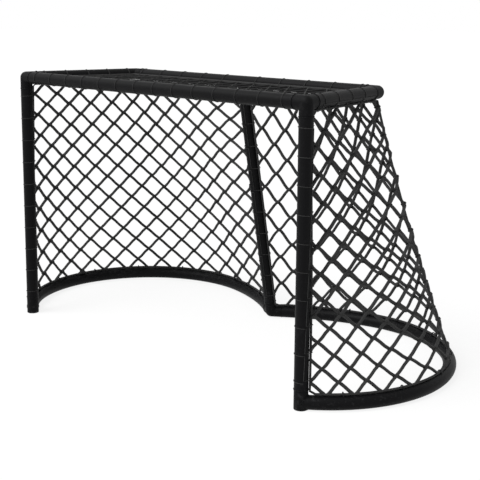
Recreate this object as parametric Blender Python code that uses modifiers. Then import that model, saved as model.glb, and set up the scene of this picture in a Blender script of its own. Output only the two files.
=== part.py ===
"""Ice hockey goal with a two-lobed base: a welded pipe frame, its netting, lacing cords and staples.

Metres, +Z up. X runs along the mouth, Y runs back from it. The origin lies on the ice, below the
middle of the goal's bounding box. Plan positions are worked out from the goal line, which is the
line between the two post axes, and moved back to the origin by at().
"""
import math

import bmesh
import bpy
from mathutils import Matrix, Vector

# Mouth: the clear opening between the posts and below the crossbar
MOUTH_WIDTH = 1.8288
MOUTH_HEIGHT = 1.2192

# Frame pipe
PIPE_RADIUS = 0.0302
PIPE_WALL = 0.0039
PIPE_SIDES = 16

# Top shelf, measured between pipe axes: its rear corners stand in from the posts
SHELF_INSET = 0.1276
SHELF_DEPTH = 0.625

# Base rail, measured on the pipe axis: each lobe is a wide arc, then a flatter arc to the notch
LOBE_OUTREACH = 0.2704
LOBE_RADIUS = 0.600
LOBE_ARC_END = math.radians(103.0)
NOTCH_DEPTH = 0.853
LOBE_ARC_STEPS = 18
BACK_ARC_STEPS = 7

# Cast fittings that join the pipes
BALL_TURN = math.radians(20.0)
BALL_TURN_AXIS = Vector((1.0, 0.6, 0.3)).normalized()
ARM_LENGTH = 0.055
ARM_TWIST = math.radians(4.0)
SPIGOT_LENGTH = 0.030
SPIGOT_CLEARANCE = 0.0009
RAIL_LEAD_IN = 0.095

# Foot of each post, with the socket for the peg that stands in the ice
FOOT_HEIGHT = 0.085
PEG_SOCKET_RADIUS = 0.016
PEG_SOCKET_DEPTH = 0.070

# Netting
CORD_THICKNESS = 0.012
NET_COLUMNS = 8
NET_ROWS = 7
NET_PANELS = 4
TOP_NET_COLUMNS = 8
TOP_NET_ROWS = 2
NET_PULL_IN = 0.008
TOP_NET_SAG = 0.012
NET_SEAT = 0.0004
SEAM_GAP = 0.0006
SEAM_LOOK = 0.01

# Lacing cord that winds round a pipe and the net's border, once for each column or row of the net
LACING_RADIUS = 0.0025
LACING_CLEARANCE = 0.0005
LACING_REACH = 0.0035
LACING_OPENING = math.radians(50.0)
LACING_BACK_POINTS = 7
LACING_ADVANCE = 0.2
SECOND_NET_SHARE = 0.6

# Staples on the base rail, each over the net's border
STAPLE_RADIUS = 0.0025
STAPLE_REACH = 0.0015
STAPLE_BEND = 0.6

# Face to face gap between pieces that touch, and the length of the bars that cope pipe ends
GAP = 0.0003
COPE_LENGTH = 0.4

# Worked out from the sizes above
POST_X = MOUTH_WIDTH / 2 + PIPE_RADIUS
BAR_Z = MOUTH_HEIGHT + PIPE_RADIUS
SHELF_HALF_WIDTH = POST_X - SHELF_INSET
SPIGOT_RADIUS = PIPE_RADIUS - PIPE_WALL - SPIGOT_CLEARANCE
LOBE_CENTRE_X = POST_X + LOBE_OUTREACH - LOBE_RADIUS
LOBE_CENTRE_Y = math.sqrt(LOBE_RADIUS ** 2 - (POST_X - LOBE_CENTRE_X) ** 2)
LOBE_BACK = LOBE_CENTRE_Y + LOBE_RADIUS
GOAL_LINE_Y = -LOBE_BACK / 2
NET_BORDER = PIPE_RADIUS + NET_SEAT + CORD_THICKNESS / 2
SEAM_OFFSET = (CORD_THICKNESS + SEAM_GAP) / 2

COLLECTION = bpy.data.collections.new("hockey_goal")
CUTTERS = bpy.data.collections.new("cutters")


def at(x, y, z):
    """World point from a plan position measured from the goal line."""
    return Vector((x, y + GOAL_LINE_Y, z))


def mirrored(point, side):
    """The point on the right side of the goal, or its mirror image on the left."""
    return Vector((point.x * side, point.y, point.z))


def material(name, colour, roughness, metallic):
    made = bpy.data.materials.new(name)
    made.use_nodes = True
    shader = made.node_tree.nodes["Principled BSDF"]
    shader.inputs["Base Color"].default_value = (*colour, 1.0)
    shader.inputs["Roughness"].default_value = roughness
    shader.inputs["Metallic"].default_value = metallic
    return made


def painted_steel(name):
    return material(name + "_paint", (0.012, 0.012, 0.013), 0.42, 0.0)


def net_cord(name):
    return material(name + "_cord", (0.015, 0.015, 0.015), 0.85, 0.0)


def add_part(name, mesh, finish):
    """A named sub-part with its own material, shaded smooth except at its hard edges."""
    mesh.shade_smooth()
    mesh.set_sharp_from_angle(angle=math.radians(35.0))
    part = bpy.data.objects.new(name, mesh)
    part.data.materials.clear()
    part.data.materials.append(finish(name))
    COLLECTION.objects.link(part)
    return part


def add_cutter(name, mesh):
    cutter = bpy.data.objects.new(name, mesh)
    cutter.hide_render = True
    cutter.display_type = "WIRE"
    CUTTERS.objects.link(cutter)
    return cutter


def boolean(part, operation, operand):
    step = part.modifiers.new(operand.name, "BOOLEAN")
    step.operation = operation
    step.solver = "EXACT"
    step.object = operand


def swept_mesh(name, points, radius, sides):
    """Mesh of a round tube along the points, open at its ends."""
    curve = bpy.data.curves.new(name, "CURVE")
    curve.dimensions = "3D"
    curve.bevel_depth = radius
    curve.bevel_resolution = sides // 2 - 2
    spline = curve.splines.new("POLY")
    spline.points.add(len(points) - 1)
    for target, point in zip(spline.points, points):
        target.co = (*point, 1.0)
    holder = bpy.data.objects.new(name, curve)
    bpy.context.scene.collection.objects.link(holder)
    bpy.context.view_layer.update()
    evaluated = holder.evaluated_get(bpy.context.evaluated_depsgraph_get())
    mesh = bpy.data.meshes.new_from_object(evaluated)
    mesh.name = name
    bpy.data.objects.remove(holder)
    bpy.data.curves.remove(curve)
    return mesh


def swept_solid(name, points, radius, sides):
    """Mesh of a solid round bar or cord along the points, closed at its ends."""
    mesh = swept_mesh(name, points, radius, sides)
    shape = bmesh.new()
    shape.from_mesh(mesh)
    bmesh.ops.holes_fill(shape, edges=[e for e in shape.edges if e.is_boundary], sides=sides)
    bmesh.ops.recalc_face_normals(shape, faces=shape.faces)
    shape.to_mesh(mesh)
    shape.free()
    return mesh


def pipe(name, points):
    """Hollow frame pipe along the points."""
    part = add_part(name, swept_mesh(name, points, PIPE_RADIUS, PIPE_SIDES), painted_steel)
    wall = part.modifiers.new("wall", "SOLIDIFY")
    wall.thickness = PIPE_WALL
    wall.offset = -1.0
    wall.use_even_offset = True
    return part


def turned_mesh(name, profile, sides):
    """Mesh turned about Z from a profile of (radius, height) points that starts and ends on the axis."""
    outline = bpy.data.meshes.new(name)
    edges = [(k, k + 1) for k in range(len(profile) - 1)]
    outline.from_pydata([(r, 0.0, z) for r, z in profile], edges, [])
    holder = bpy.data.objects.new(name, outline)
    turn = holder.modifiers.new("turn", "SCREW")
    turn.steps = turn.render_steps = sides
    turn.use_merge_vertices = True
    turn.merge_threshold = 0.00001
    bpy.context.scene.collection.objects.link(holder)
    bpy.context.view_layer.update()
    evaluated = holder.evaluated_get(bpy.context.evaluated_depsgraph_get())
    mesh = bpy.data.meshes.new_from_object(evaluated)
    bpy.data.objects.remove(holder)
    bpy.data.meshes.remove(outline)
    return mesh


def cylinder_cutter(name, centre, direction, radius, length, sides=32):
    shape = bmesh.new()
    bmesh.ops.create_cone(
        shape, cap_ends=True, segments=sides, radius1=radius, radius2=radius, depth=length
    )
    mesh = bpy.data.meshes.new(name)
    shape.to_mesh(mesh)
    shape.free()
    turn = direction.to_track_quat("Z", "Y").to_matrix().to_4x4()
    mesh.transform(Matrix.Translation(centre) @ turn)
    return add_cutter(name, mesh)


def fitting_arm(name, centre, direction, twist):
    """One arm of a cast fitting: a barrel as thick as the pipe and a spigot that enters it.

    Each arm's flats are turned about its axis by its own twist, so that no two arms share a plane.
    """
    profile = [
        (0.0, ARM_LENGTH + SPIGOT_LENGTH),
        (SPIGOT_RADIUS, ARM_LENGTH + SPIGOT_LENGTH),
        (SPIGOT_RADIUS, ARM_LENGTH),
        (PIPE_RADIUS, ARM_LENGTH),
        (PIPE_RADIUS, 0.0),
        (0.0, 0.0),
    ]
    mesh = turned_mesh(name, profile, PIPE_SIDES)
    turn = direction.to_track_quat("Z", "Y").to_matrix().to_4x4()
    mesh.transform(Matrix.Translation(centre) @ turn @ Matrix.Rotation(twist, 4, "Z"))
    return add_cutter(name, mesh)


def ball_fitting(name, centre, directions):
    """Cast corner: a ball where the pipe axes meet, with an arm towards each pipe."""
    shape = bmesh.new()
    bmesh.ops.create_uvsphere(
        shape, u_segments=PIPE_SIDES, v_segments=PIPE_SIDES // 2, radius=PIPE_RADIUS
    )
    mesh = bpy.data.meshes.new(name)
    shape.to_mesh(mesh)
    shape.free()
    mesh.transform(Matrix.Translation(centre) @ Matrix.Rotation(BALL_TURN, 4, BALL_TURN_AXIS))
    part = add_part(name, mesh, painted_steel)
    for number, direction in enumerate(directions, 1):
        arm = fitting_arm(f"{name}_arm_{number}", centre, direction, number * ARM_TWIST)
        boolean(part, "UNION", arm)
    return part


def shelf_corner(side):
    return at(side * SHELF_HALF_WIDTH, SHELF_DEPTH, BAR_Z)


def post_top(side):
    return at(side * POST_X, 0.0, BAR_Z)


def rear_middle():
    return at(0.0, SHELF_DEPTH, BAR_Z)


def notch():
    return at(0.0, NOTCH_DEPTH, PIPE_RADIUS)


def arc(cx, cy, radius, start, end, steps):
    """Plan points on an arc, both ends included."""
    turns = [start + (end - start) * k / steps for k in range(steps + 1)]
    return [(cx + radius * math.cos(t), cy + radius * math.sin(t)) for t in turns]


def rail_arcs():
    """Centre, radius, start and end angle of the lobe arc and of the back arc of the right rail.

    The back arc leaves the lobe arc in line with it, and its tangent from the end runs through
    the notch, one lead-in away.
    """
    first = math.atan2(-LOBE_CENTRE_Y, POST_X - LOBE_CENTRE_X)
    join = Vector((LOBE_CENTRE_X, LOBE_CENTRE_Y))
    inward = -Vector((math.cos(LOBE_ARC_END), math.sin(LOBE_ARC_END)))
    join -= inward * LOBE_RADIUS
    to_notch = Vector((0.0, NOTCH_DEPTH)) - join
    radius = (to_notch.length_squared - RAIL_LEAD_IN ** 2) / (2 * to_notch.dot(inward))
    centre = join + inward * radius
    from_centre = Vector((0.0, NOTCH_DEPTH)) - centre
    angle = math.atan2(from_centre.y, from_centre.x) % (2 * math.pi)
    last = angle - math.acos(radius / from_centre.length)
    return (
        (LOBE_CENTRE_X, LOBE_CENTRE_Y, LOBE_RADIUS, first, LOBE_ARC_END),
        (centre.x, centre.y, radius, LOBE_ARC_END, last),
    )


def rail_plan(lobe_steps=LOBE_ARC_STEPS, back_steps=BACK_ARC_STEPS):
    """Plan points on the right rail's axis, from the post's axis to the notch fitting's arm."""
    lobe, back = rail_arcs()
    plan = arc(*lobe, lobe_steps) + arc(*back, back_steps)[1:]
    share = ARM_LENGTH / RAIL_LEAD_IN
    end_x, end_y = plan[-1]
    plan.append((end_x * share, NOTCH_DEPTH + (end_y - NOTCH_DEPTH) * share))
    return plan


def toward(start, end):
    return (end - start).normalized()


def between(start, end, start_trim, end_trim):
    """The two ends of a pipe that runs from start to end, each cut back by its trim."""
    line = toward(start, end)
    return [start + line * start_trim, end - line * end_trim]


def post_foot(side, name):
    """Cast foot below a post: a socket for the peg, and a spigot up into the post."""
    profile = [
        (0.0, FOOT_HEIGHT + SPIGOT_LENGTH),
        (SPIGOT_RADIUS, FOOT_HEIGHT + SPIGOT_LENGTH),
        (SPIGOT_RADIUS, FOOT_HEIGHT),
        (PIPE_RADIUS, FOOT_HEIGHT),
        (PIPE_RADIUS, 0.0),
        (PEG_SOCKET_RADIUS, 0.0),
        (PEG_SOCKET_RADIUS, PEG_SOCKET_DEPTH),
        (0.0, PEG_SOCKET_DEPTH),
    ]
    mesh = turned_mesh(name, profile, PIPE_SIDES)
    mesh.transform(Matrix.Translation(at(side * POST_X, 0.0, 0.0)))
    return add_part(name, mesh, painted_steel)


def build_side_frame(side, label):
    """Foot, post, corner fitting, return, rear elbow and base rail of one side."""
    corner, top = shelf_corner(side), post_top(side)
    base = at(side * POST_X, 0.0, 0.0)
    trim = ARM_LENGTH + GAP
    post_foot(side, f"{label}_post_foot")
    pipe(f"{label}_post", between(base, top, FOOT_HEIGHT + GAP, trim))
    ball_fitting(
        f"{label}_top_corner",
        top,
        [Vector((-side, 0.0, 0.0)), Vector((0.0, 0.0, -1.0)), toward(top, corner)],
    )
    pipe(f"{label}_top_return", between(top, corner, trim, trim))
    ball_fitting(f"{label}_rear_elbow", corner, [toward(corner, top), Vector((-side, 0.0, 0.0))])
    points = [at(side * x, y, PIPE_RADIUS) for x, y in rail_plan()]
    points[-1] += toward(points[-1], points[-2]) * GAP
    rail = pipe(f"{label}_base_rail", points)
    up = Vector((0.0, 0.0, 1.0))
    cope = cylinder_cutter(f"{label}_foot_cope", base, up, PIPE_RADIUS + GAP, COPE_LENGTH)
    boolean(rail, "DIFFERENCE", cope)


def build_middle_frame():
    """Crossbar, rear bar, the fitting at the notch and the slanted support between them."""
    trim = ARM_LENGTH + GAP
    pipe("crossbar", between(post_top(-1), post_top(1), trim, trim))
    pipe("rear_bar", between(shelf_corner(-1), shelf_corner(1), trim, trim))
    end_x, end_y = rail_plan()[-1]
    arms = [toward(notch(), at(side * end_x, end_y, PIPE_RADIUS)) for side in (-1, 1)]
    ball_fitting("notch_fitting", notch(), arms + [toward(notch(), rear_middle())])
    support = pipe("centre_support", between(notch(), rear_middle(), trim, 0.0))
    across = Vector((1.0, 0.0, 0.0))
    cope = cylinder_cutter("rear_bar_cope", rear_middle(), across, PIPE_RADIUS + GAP, COPE_LENGTH)
    boolean(support, "DIFFERENCE", cope)


class Path:
    """A polyline that can be asked for the point at a share, which is of its length if not given."""

    def __init__(self, points, shares=None):
        self.points = points
        self.shares = shares or self.length_shares(points)

    @staticmethod
    def length_shares(points):
        lengths = [0.0]
        for a, b in zip(points, points[1:]):
            lengths.append(lengths[-1] + (b - a).length)
        return [length / lengths[-1] for length in lengths]

    def point(self, share):
        last = len(self.points) - 2
        for k in range(last + 1):
            if share <= self.shares[k + 1] or k == last:
                step = self.shares[k + 1] - self.shares[k]
                return self.points[k].lerp(self.points[k + 1], (share - self.shares[k]) / step)

    def direction(self, share):
        near = 0.001
        return toward(self.point(share - near), self.point(share + near))


def support_line(z):
    """The centre support's axis at the height z."""
    share = (z - PIPE_RADIUS) / (BAR_Z - PIPE_RADIUS)
    return notch().lerp(rear_middle(), share)


def net_top_path():
    """Top border of the right lobe's net: one half under the return, the other under the rear bar."""
    z = BAR_Z - NET_BORDER
    top, corner = post_top(1), shelf_corner(1)
    start = top + toward(top, corner) * NET_BORDER
    end = support_line(z)
    last_column = 1.0 - 1.0 / NET_COLUMNS
    last_x = corner.x + (NET_BORDER - corner.x) * (last_column - 0.5) / 0.5
    points = [
        Vector((start.x, start.y, z)),
        Vector((corner.x, corner.y, z)),
        Vector((last_x, corner.y, z)),
        Vector((NET_BORDER, end.y, z)),
    ]
    return Path(points, [0.0, 0.5, last_column, 1.0])


def net_base_path():
    """Bottom border of the right lobe's net, on top of the base rail."""
    z = PIPE_RADIUS + NET_BORDER
    points = [at(x, y, z) for x, y in rail_plan(36, 16)]
    foot = at(POST_X, 0.0, z)
    points = [p for p in points if (p - foot).length > NET_BORDER]
    start = foot + toward(foot, points[0]) * NET_BORDER
    end = support_line(z)
    return Path([start] + points + [Vector((NET_BORDER, end.y, z))])


def lobe_net_point(top, base, share, drop):
    """Point of the right lobe's net: share runs from the post to the support, drop from top to base."""
    point = top.point(share).lerp(base.point(share), drop)
    post = at(POST_X, 0.0, point.z)
    if (point - post).length < NET_BORDER:
        point = post + toward(post, point) * NET_BORDER
    middle = at(SHELF_HALF_WIDTH / 2, SHELF_DEPTH / 2, point.z)
    pull = NET_PULL_IN * 4 * drop * (1 - drop) * math.sin(math.pi * share)
    return point + toward(point, middle) * pull


def diamond_mesh(name, point_of, columns, rows, first, last):
    """Quads and border triangles of a diamond net between two half columns.

    point_of(i, j) gives the knot at half column i and half row j. A knot stands where i + j is even,
    and the last row has one more between each two, so that the border follows a bent rail.
    """
    shape = bmesh.new()
    knots = {}
    for i in range(first, last + 1):
        for j in range(2 * rows + 1):
            if (i + j) % 2 == 0 or j == 2 * rows:
                knots[i, j] = shape.verts.new(point_of(i, j))

    def face(*corners):
        if all(corner in knots for corner in corners):
            shape.faces.new([knots[corner] for corner in corners])

    for i in range(first + 1, last):
        for j in range(1, 2 * rows):
            if (i + j) % 2:
                face((i, j - 1), (i - 1, j), (i, j + 1), (i + 1, j))
        if i % 2:
            face((i - 1, 0), (i, 1), (i + 1, 0))
            face((i - 1, 2 * rows), (i, 2 * rows), (i + 1, 2 * rows), (i, 2 * rows - 1))
    for j in range(1, 2 * rows, 2):
        if first == 0:
            face((0, j - 1), (0, j + 1), (1, j))
        if last == 2 * columns:
            face((last, j - 1), (last - 1, j), (last, j + 1))
    bmesh.ops.recalc_face_normals(shape, faces=shape.faces)
    mesh = bpy.data.meshes.new(name)
    shape.to_mesh(mesh)
    shape.free()
    return mesh


def net_part(name, mesh):
    part = bpy.data.objects.new(name, mesh)
    part.data.materials.append(net_cord(name))
    cords = part.modifiers.new("cords", "WIREFRAME")
    cords.thickness = CORD_THICKNESS
    cords.use_replace = True
    cords.use_boundary = True
    cords.use_even_offset = False
    COLLECTION.objects.link(part)
    return part


def build_lobe_net(side, label):
    """The net of one lobe, sewn from panels that run from the shelf down to the base."""
    top, base = net_top_path(), net_base_path()
    width = 2 * NET_COLUMNS // NET_PANELS
    for panel in range(NET_PANELS):
        first, last = panel * width, (panel + 1) * width

        def point_of(i, j):
            share = i / (2 * NET_COLUMNS)
            drop = j / (2 * NET_ROWS)
            point = lobe_net_point(top, base, share, drop)
            seam = 0
            if i == first and panel > 0:
                seam = 1
            if i == last and panel < NET_PANELS - 1:
                seam = -1
            if seam:
                inside = lobe_net_point(top, base, share + seam * SEAM_LOOK, drop)
                point += toward(point, inside) * SEAM_OFFSET
            return mirrored(point, side)

        name = f"{label}_net_panel_{panel + 1}"
        net_part(name, diamond_mesh(name, point_of, NET_COLUMNS, NET_ROWS, first, last))


def top_net_half_width(y):
    """Half the width of the top net at the depth y, which keeps it clear of the returns."""
    run = toward(post_top(1), shelf_corner(1))
    return POST_X + y * run.x / run.y - NET_BORDER / run.y


def build_top_net():
    """The net of the shelf, nearly flat between the crossbar, the returns and the rear bar."""

    def point_of(i, j):
        across = 2 * i / (2 * TOP_NET_COLUMNS) - 1
        back = j / (2 * TOP_NET_ROWS)
        y = NET_BORDER + back * (SHELF_DEPTH - 2 * NET_BORDER)
        half = top_net_half_width(y)
        sag = TOP_NET_SAG * 4 * back * (1 - back) * (1 - across ** 2)
        return at(across * half, y, BAR_Z - sag)

    mesh = diamond_mesh("top_net", point_of, TOP_NET_COLUMNS, TOP_NET_ROWS, 0, 2 * TOP_NET_COLUMNS)
    net_part("top_net", mesh)


def lacing_plan():
    """One turn of lacing across a pipe: two points beyond the net's border, then round the back.

    Each point is (distance towards the net, distance to the side) from the pipe's axis.
    """
    half_width = CORD_THICKNESS / 2 + LACING_REACH + LACING_RADIUS
    reach = NET_BORDER + half_width
    step = (2 * math.pi - 2 * LACING_OPENING) / (LACING_BACK_POINTS - 1)
    ring = (PIPE_RADIUS + LACING_CLEARANCE + LACING_RADIUS) / math.cos(step / 2)
    back = []
    for k in range(LACING_BACK_POINTS):
        turn = LACING_OPENING + step * k
        back.append((ring * math.cos(turn), ring * math.sin(turn)))
    return [(reach, -half_width), (reach, half_width)], back


def past_second_net(through, back, turn):
    """The points round the back, led past a second net whose border lies at the turn from the first."""
    way = Vector((math.cos(turn), math.sin(turn)))
    across = Vector((-way.y, way.x))
    border = [tuple(way * a + across * b) for a, b in through]
    clear = [p for p in back if way.dot(p) < through[0][0] * SECOND_NET_SHARE]
    turns = [math.atan2(p[1], p[0]) % (2 * math.pi) for p in clear]
    before = [p for p, t in zip(clear, turns) if t < turn]
    after = [p for p, t in zip(clear, turns) if t > turn]
    return before + border + after


def least_gap(route, apart):
    """Least gap between stretches of the cord that are at least so many points apart."""
    fine = []
    for a, b in zip(route, route[1:]):
        fine += [a.lerp(b, k / 4) for k in range(4)]
    pairs = [(i, k) for i in range(len(fine)) for k in range(i + 4 * apart, len(fine))]
    return min((fine[i] - fine[k]).length for i, k in pairs) - 2 * LACING_RADIUS


def lacing_cord(name, frame_at, shares, side=1, second_net=None):
    """One cord that winds once round a pipe at each share and runs along its side in between.

    frame_at(share) gives the point on the pipe's axis, the pipe's direction and the way to the net.
    second_net is the turn round the pipe from that net to another one that is laced with it.
    """
    through, back = lacing_plan()
    if second_net is not None:
        back = past_second_net(through, back, second_net)
    run = len(back) - 2
    winding = back[run:] + through + back[:run + 1]
    advance = (shares[1] - shares[0]) * LACING_ADVANCE
    route = []
    for share in shares:
        for k, (reach, off) in enumerate(winding):
            place = share + advance * (k / (len(winding) - 1) - 0.5)
            axis_point, direction, way = frame_at(place)
            out = (way - direction * way.dot(direction)).normalized()
            across = direction.cross(out)
            route.append(mirrored(axis_point + out * reach + across * off, side))
    print(f"{name}: least gap to itself {least_gap(route, len(winding) // 2) * 1000:.1f} mm")
    add_part(name, swept_solid(name, route, LACING_RADIUS, 4), net_cord)


def middle_shares(count, start=0.0, end=1.0):
    """The shares at the middles of count equal stretches between start and end."""
    return [start + (end - start) * (k + 0.5) / count for k in range(count)]


def build_side_lacing(side, label):
    """Lacing of one side: down the post, along the return and along half of the rear bar."""
    top, base = net_top_path(), net_base_path()

    def post_frame(share):
        border = lobe_net_point(top, base, 0.0, share)
        axis_point = at(POST_X, 0.0, border.z)
        return axis_point, Vector((0.0, 0.0, 1.0)), border - axis_point

    def shelf_frame(share):
        border = top.point(share)
        axis_point = Vector((border.x, min(border.y, rear_middle().y), BAR_Z))
        below = Vector((0.0, 0.0, -NET_BORDER))
        return axis_point, top.direction(share), border - axis_point + below

    half = NET_COLUMNS // 2
    inward = math.pi / 2
    lacing_cord(f"{label}_post_lacing", post_frame, middle_shares(NET_ROWS), side)
    shares = middle_shares(half, 0.0, 0.5)
    lacing_cord(f"{label}_return_lacing", shelf_frame, shares, side, inward)
    shares = middle_shares(half, 0.5, 1.0)
    lacing_cord(f"{label}_rear_lacing", shelf_frame, shares, side, inward)


def build_middle_lacing():
    """Lacing of the top net to the crossbar, and of both lobe nets to the centre support."""
    half_width = top_net_half_width(NET_BORDER)

    def crossbar_frame(share):
        x = (2 * share - 1) * half_width
        return at(x, 0.0, BAR_Z), Vector((1.0, 0.0, 0.0)), Vector((0.0, 1.0, 0.0))

    lacing_cord("crossbar_lacing", crossbar_frame, middle_shares(TOP_NET_COLUMNS))
    top, base = net_top_path(), net_base_path()
    along = toward(notch(), rear_middle())

    def support_frame(share):
        border = lobe_net_point(top, base, 1.0, share)
        return support_line(border.z), along, Vector((1.0, 0.0, 0.0))

    lacing_cord("support_lacing", support_frame, middle_shares(NET_ROWS), second_net=math.pi)


def build_staples(side, label):
    """Bent wire staples on the base rail, one over the net's border in each column."""
    base = net_base_path()
    half_width = CORD_THICKNESS / 2 + STAPLE_REACH + STAPLE_RADIUS
    crown = NET_BORDER + half_width
    shoulder = half_width * STAPLE_BEND
    seat = math.sqrt(PIPE_RADIUS ** 2 - (half_width - STAPLE_RADIUS) ** 2) + GAP
    outline = [
        (seat, -half_width),
        (crown - shoulder, -half_width),
        (crown, -shoulder),
        (crown, shoulder),
        (crown - shoulder, half_width),
        (seat, half_width),
    ]
    for number, share in enumerate(middle_shares(NET_COLUMNS), 1):
        border = base.point(share)
        foot = Vector((border.x, border.y, PIPE_RADIUS))
        across = Vector((0.0, 0.0, 1.0)).cross(base.direction(share))
        route = [mirrored(foot + Vector((0, 0, up)) + across * off, side) for up, off in outline]
        name = f"{label}_base_staple_{number}"
        add_part(name, swept_solid(name, route, STAPLE_RADIUS, 6), painted_steel)


def build():
    for leftover in list(bpy.data.objects):
        bpy.data.objects.remove(leftover)
    bpy.context.scene.collection.children.link(COLLECTION)
    bpy.context.scene.collection.children.link(CUTTERS)
    for side, label in ((-1, "left"), (1, "right")):
        build_side_frame(side, label)
        build_lobe_net(side, label)
        build_side_lacing(side, label)
        build_staples(side, label)
    build_middle_frame()
    build_top_net()
    build_middle_lacing()


build()
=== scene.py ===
"""Ice hockey goal: the finish of its welded frame, and its netting, lacing, staples and welds.

The file is laid out as an add-on. Metres, +Z up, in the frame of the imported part: X runs along the
mouth, Y runs back from it, and the floor is at Z = 0. Each operator makes one kind of piece, and
main() runs them all in order.
"""
import math

import bmesh
import bpy
from bpy.props import FloatProperty, FloatVectorProperty, IntProperty, PointerProperty
from mathutils import Matrix, Vector
from mathutils.geometry import convex_hull_2d


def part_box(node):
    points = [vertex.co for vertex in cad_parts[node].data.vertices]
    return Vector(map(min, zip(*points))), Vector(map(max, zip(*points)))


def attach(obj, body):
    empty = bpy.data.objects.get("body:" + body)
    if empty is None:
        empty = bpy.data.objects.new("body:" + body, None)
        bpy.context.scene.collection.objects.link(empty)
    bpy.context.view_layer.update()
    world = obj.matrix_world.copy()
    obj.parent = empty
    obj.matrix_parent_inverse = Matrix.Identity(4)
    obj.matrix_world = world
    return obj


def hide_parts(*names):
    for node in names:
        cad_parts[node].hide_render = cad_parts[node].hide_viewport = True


bl_info = {
    "name": "Hockey Goal",
    "version": (1, 0, 0),
    "blender": (4, 5, 0),
    "location": "3D View > Sidebar > Hockey Goal",
    "description": "Finishes the frame of an ice hockey goal and hangs its net",
    "category": "Object",
}

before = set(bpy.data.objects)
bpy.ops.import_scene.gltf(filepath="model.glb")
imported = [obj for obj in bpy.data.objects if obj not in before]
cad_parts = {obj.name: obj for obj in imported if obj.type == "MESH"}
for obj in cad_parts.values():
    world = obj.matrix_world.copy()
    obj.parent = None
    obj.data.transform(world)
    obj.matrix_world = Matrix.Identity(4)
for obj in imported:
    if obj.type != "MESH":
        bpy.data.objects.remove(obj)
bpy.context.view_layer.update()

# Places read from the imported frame
FOOT_LOW, FOOT_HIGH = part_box("right_post_foot")
CROSSBAR_LOW, CROSSBAR_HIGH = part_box("crossbar")
REAR_LOW, REAR_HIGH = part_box("rear_bar")
POST_X = (FOOT_LOW.x + FOOT_HIGH.x) / 2
GOAL_LINE_Y = (FOOT_LOW.y + FOOT_HIGH.y) / 2
BAR_Z = (CROSSBAR_LOW.z + CROSSBAR_HIGH.z) / 2
PIPE_RADIUS = (CROSSBAR_HIGH.z - CROSSBAR_LOW.z) / 2
REAR_Y = (REAR_LOW.y + REAR_HIGH.y) / 2
ARM_LENGTH = POST_X - CROSSBAR_HIGH.x
SHELF_X = REAR_HIGH.x + ARM_LENGTH
FOOT_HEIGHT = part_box("right_post")[0].z

# Plan of the base rail, as in the part's source
LOBE_OUTREACH = 0.2704
LOBE_RADIUS = 0.600
LOBE_ARC_END = math.radians(103.0)
NOTCH_DEPTH = 0.853
RAIL_LEAD_IN = 0.095
LOBE_CENTRE_X = POST_X + LOBE_OUTREACH - LOBE_RADIUS
LOBE_CENTRE_Y = math.sqrt(LOBE_RADIUS ** 2 - (POST_X - LOBE_CENTRE_X) ** 2)

# Hang of the net, as in the part's source
NET_SEAT = 0.0004
NET_PULL_IN = 0.008
NET_CORNER = 0.5
NET_LAST_COLUMN = 0.9
TOP_NET_SAG = 0.012

# Peg socket of a foot, as in the part's source
PEG_SOCKET_RADIUS = 0.016
PEG_SOCKET_DEPTH = 0.070

# Sizes and smoothness of the meshes, with the angles of sharp edges in degrees
PIPE_SIDES = 48
PIPE_EDGE = 40.0
CORD_EDGE = 60.0
WELD_EDGE = 70.0
ALL_SMOOTH = 180.0
LOBE_STEPS = 72
REAR_STEPS = 24
CUTTER_LENGTH = 0.4
CASTING_VOXEL = 0.0025
FOOT_SIDES = 64
FOOT_EASE = 0.0015
RING_POINTS = 96
BEAD_SIDES = 8
BEAD_STEPS = 4
BEAD_RIPPLE = 0.14
LEAST_POOLS = 8
CORD_SIDES = 6
CORD_STEPS = 6
LEAST_STEP = 0.01
LEAST_POINTS = 4
SEAM_STEPS = 24
BORDER_STEPS = 48
KNOT_SIDES = 5
KNOT_STEPS = 8
KNOT_MARGIN = 0.01
WINDING_POINTS = 20
WINDING_START = -0.35 * math.pi
STAPLE_SIDES = 10
STAPLE_STEPS = 12
STAPLE_CLEARANCE = 0.0012
STAPLE_LEG = 0.4

# Search for places on a net, with steps in shares of its width and height
NEAR = 0.001
NEAR_PLACE = 0.002
PLACE_TRIES = 14
PLACE_MARGIN = 0.1
LEAST_SLOPE = 2.0
CROSSING_TRIES = 10

# Finish: heights of the rubs' fading, strands of a cord, and lengths on which they turn by one
RUBS_FULL, RUBS_GONE = 0.02, 0.30
STRANDS = 3.0
NET_CORD_PITCH = 0.030
LACING_PITCH = 0.011

# Camera, fitted to the posts, the bars and the rail in the photograph
CAMERA_PLACE = Vector((3.5067, GOAL_LINE_Y - 3.0068, 1.6059))
CAMERA_TURN = math.radians(44.13)
CAMERA_DIP = math.radians(10.20)
CAMERA_ROLL = math.radians(0.45)
CAMERA_LENS = 76.53
CAMERA_SHIFT = -0.1
SENSOR_WIDTH = 36.0
FAR_CLIP = 200.0

# Floor and lamp
FLOOR_CORNERS = ((-1, -1), (1, -1), (1, 1), (-1, 1))
FLOOR_REACH = 60.0
FLOOR_DROP = 0.0002
FLOOR_WHITENESS = 0.85
LAMP_PLACE = Vector((-1.5, -3.5, 4.5))
LAMP_ANGLE = math.radians(40.0)

DOWN = Vector((0.0, 0.0, -1.0))
UP = Vector((0.0, 0.0, 1.0))
ALONG_MOUTH = Vector((1.0, 0.0, 0.0))
BACK = Vector((0.0, 1.0, 0.0))
SIDES = ((-1, "left"), (1, "right"))
WHITE = (1.0, 1.0, 1.0, 1.0)
MIX_COLOURS, MIX_RESULT = (6, 7), 2
SEEN_RAYS = ("Is Camera Ray", "Is Glossy Ray", "Is Transmission Ray")


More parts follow.
